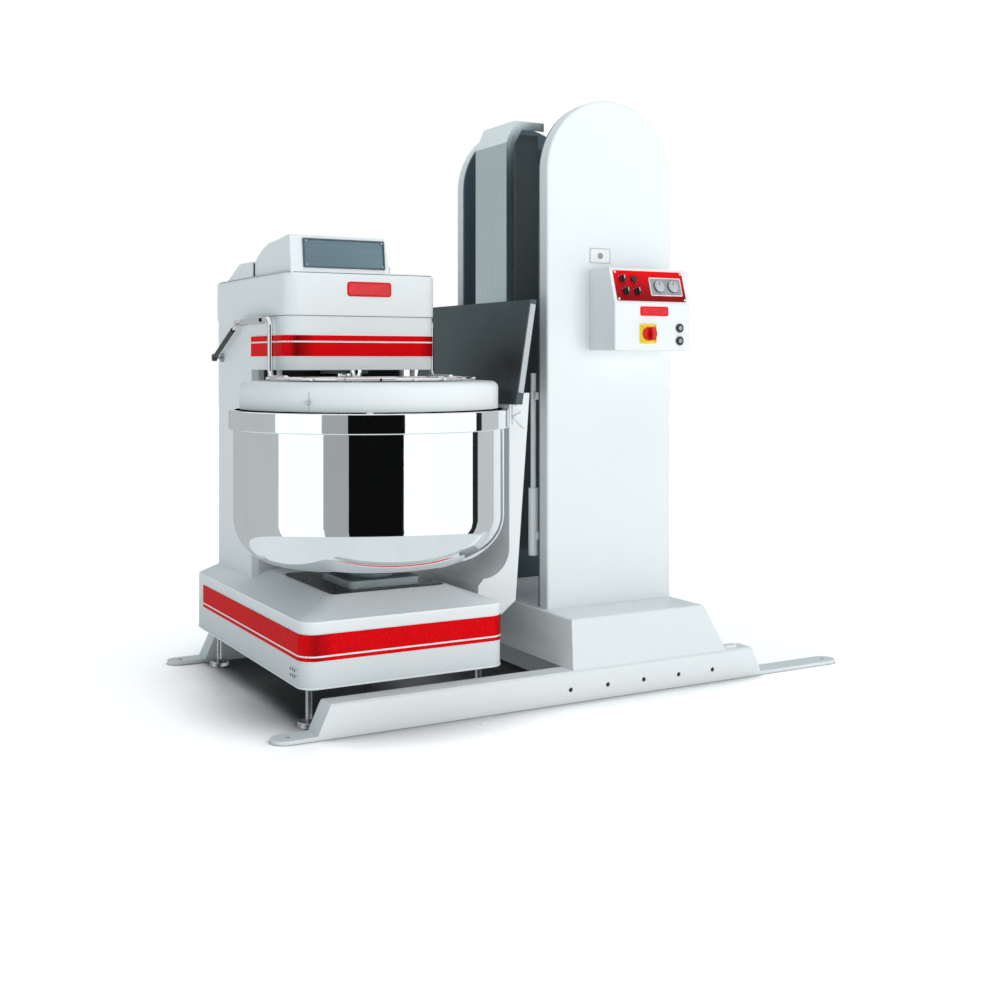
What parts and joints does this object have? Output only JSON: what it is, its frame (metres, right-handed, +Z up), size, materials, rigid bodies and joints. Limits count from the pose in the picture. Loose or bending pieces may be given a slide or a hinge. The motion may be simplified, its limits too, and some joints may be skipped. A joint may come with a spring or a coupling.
{
  "type": "spiral dough mixer",
  "caption": "Self-tipping spiral dough mixer: a steel bowl, spiral hook and lifting guard on a machine body that a two-column tipper swings up to empty.",
  "frame": {"origin": "on the floor, at the middle of the overall bounding box", "axes": "+Z up; +X from the mixer towards the tipper columns, along the floor rails; +Y to the back; the control box and the bowl face -Y"},
  "size_m": [2.1299, 1.28, 2],
  "materials": {
    "white_enamel": "gloss enamel",
    "brushed_stainless": "brushed",
    "polished_stainless": "mirror polished",
    "red_enamel": "gloss",
    "machined_steel": "machined",
    "black_plastic": "satin",
    "red_plastic": "gloss",
    "yellow_plastic": "satin",
    "cast_grey": "painted casting",
    "belt_rubber": "matt",
    "silver_plate": "satin",
    "chrome_bar": "polished"
  },
  "bodies": {
    "tipper": {"front_rail": "white_enamel", "rear_rail": "white_enamel", "cross_beams": "white_enamel", "plinth": "white_enamel", "front_column_cover": "white_enamel", "rear_column_cover": "white_enamel", "front_column_plate": "white_enamel", "rear_column_plate": "white_enamel", "tip_bearings": "cast_grey", "tip_gearmotor": "cast_grey", "drive_chain": "machined_steel", "control_box": "white_enamel", "control_fascia": "red_enamel", "switch_plate": "yellow_plastic", "button_bezels": "black_plastic", "info_plates": "red_enamel", "cable_conduit": "white_enamel", "cable_gland": "black_plastic"},
    "tip_drive": {"drive_sprocket": "machined_steel"},
    "mixer": {"tip_shaft": "machined_steel", "driven_sprocket": "machined_steel", "swing_arm": "white_enamel", "arm_cover": "brushed_stainless", "tipping_frame": "white_enamel", "chute": "brushed_stainless", "chute_bracket": "white_enamel", "mixer_base": "white_enamel", "base_band": "red_enamel", "levelling_feet": "machined_steel", "machine_body": "white_enamel", "rear_panel": "white_enamel", "head_band": "red_enamel", "head_hood": "white_enamel", "hood_plate": "silver_plate", "head_badge": "red_enamel", "drive_motors": "cast_grey", "drive_belts": "belt_rubber", "shaft_bearings": "white_enamel", "breaker_bar": "polished_stainless", "rear_guard": "white_enamel", "strut_stud": "machined_steel"},
    "bowl": {"bowl": "polished_stainless", "bowl_spindle": "machined_steel"},
    "bowl_motor_rotor": {"bowl_motor_pulley": "cast_grey"},
    "spiral": {"spiral_hook": "polished_stainless", "spiral_pulley": "cast_grey"},
    "spiral_motor_rotor": {"spiral_motor_pulley": "cast_grey"},
    "guard": {"guard_ring": "white_enamel", "guard_bars": "chrome_bar"},
    "strut_cylinder": {"strut_tube": "black_plastic"},
    "strut_piston": {"strut_rod": "chrome_bar"},
    "main_switch": {"main_switch_knob": "red_plastic"},
    "start": {"start_button": "black_plastic"},
    "stop": {"stop_button": "black_plastic"},
    "panel_push": {"panel_button": "black_plastic"},
    "selector_1": {"selector_knob_1": "black_plastic"},
    "selector_2": {"selector_knob_2": "black_plastic"},
    "selector_3": {"selector_knob_3": "black_plastic"},
    "timer_1": {"timer_dial_1": "silver_plate"},
    "timer_2": {"timer_dial_2": "silver_plate"}
  },
  "joints": [
    {"name": "tip", "type": "hinge", "parent": "tipper", "child": "mixer", "pos_m": [0.248, 0.036, 1.742], "axis": [0, 1, 0], "range_deg": [0, 140]},
    {"name": "tip_drive_spin", "type": "hinge", "parent": "tipper", "child": "tip_drive", "pos_m": [0.248, -0.2, 0.178], "axis": [0, 1, 0], "range_deg": [0, 448]},
    {"name": "bowl_spin", "type": "hinge", "parent": "mixer", "child": "bowl", "pos_m": [-0.615, -0.19, 0.45], "axis": [0, 0, 1], "continuous": true},
    {"name": "bowl_motor_spin", "type": "hinge", "parent": "mixer", "child": "bowl_motor_rotor", "pos_m": [-0.615, 0.4, 0.3], "axis": [0, 0, 1], "continuous": true},
    {"name": "spiral_spin", "type": "hinge", "parent": "mixer", "child": "spiral", "pos_m": [-0.615, 0.03, 1.1], "axis": [0, 0, 1], "continuous": true},
    {"name": "spiral_motor_spin", "type": "hinge", "parent": "mixer", "child": "spiral_motor_rotor", "pos_m": [-0.615, 0.42, 1.2], "axis": [0, 0, 1], "continuous": true},
    {"name": "guard_lift", "type": "hinge", "parent": "mixer", "child": "guard", "pos_m": [-0.615, 0.15, 1.225], "axis": [-1, 0, 0], "range_deg": [0, 55]},
    {"name": "strut_swing", "type": "hinge", "parent": "mixer", "child": "strut_cylinder", "pos_m": [-0.912, 0.535, 1.105], "axis": [1, 0, 0], "range_deg": [0, 20.16]},
    {"name": "strut_stroke", "type": "slide", "parent": "strut_cylinder", "child": "strut_piston", "axis": [0, -0.9161, 0.401], "range_m": [0, 0.03076]},
    {"name": "main_switch_turn", "type": "hinge", "parent": "tipper", "child": "main_switch", "pos_m": [0.297, -0.454, 1.185], "axis": [0, 1, 0], "range_deg": [0, 90]},
    {"name": "start_press", "type": "slide", "parent": "tipper", "child": "start", "axis": [0, 1, 0], "range_m": [0, 0.005], "stiffness_N_per_m": 400, "springref_m": -0.001},
    {"name": "stop_press", "type": "slide", "parent": "tipper", "child": "stop", "axis": [0, 1, 0], "range_m": [0, 0.005], "stiffness_N_per_m": 400, "springref_m": -0.001},
    {"name": "panel_button_press", "type": "slide", "parent": "tipper", "child": "panel_push", "axis": [0, 0.9576, -0.2881], "range_m": [0, 0.003], "stiffness_N_per_m": 400, "springref_m": -0.001},
    {"name": "selector_1_turn", "type": "hinge", "parent": "tipper", "child": "selector_1", "pos_m": [0.205, -0.42916, 1.36857], "axis": [0, -0.9576, 0.2881], "range_deg": [-45, 45]},
    {"name": "selector_2_turn", "type": "hinge", "parent": "tipper", "child": "selector_2", "pos_m": [0.213, -0.44184, 1.32643], "axis": [0, -0.9576, 0.2881], "range_deg": [-45, 45]},
    {"name": "selector_3_turn", "type": "hinge", "parent": "tipper", "child": "selector_3", "pos_m": [0.259, -0.44184, 1.32643], "axis": [0, -0.9576, 0.2881], "range_deg": [-45, 45]},
    {"name": "timer_1_turn", "type": "hinge", "parent": "tipper", "child": "timer_1", "pos_m": [0.351, -0.43608, 1.34559], "axis": [0, -0.9576, 0.2881], "range_deg": [-300, 0]},
    {"name": "timer_2_turn", "type": "hinge", "parent": "tipper", "child": "timer_2", "pos_m": [0.409, -0.43608, 1.34559], "axis": [0, -0.9576, 0.2881], "range_deg": [-300, 0]}
  ],
  "couplings": [
    {"joint": "tip_drive_spin", "follows": "tip", "ratio": 3.2},
    {"joint": "bowl_motor_spin", "follows": "bowl_spin", "ratio": 5},
    {"joint": "spiral_motor_spin", "follows": "spiral_spin", "ratio": 2.9},
    {"joint": "strut_swing", "follows": "guard_lift", "ratio": 0.36662},
    {"joint": "strut_stroke", "follows": "guard_lift", "m_per_rad": 0.032044}
  ]
}
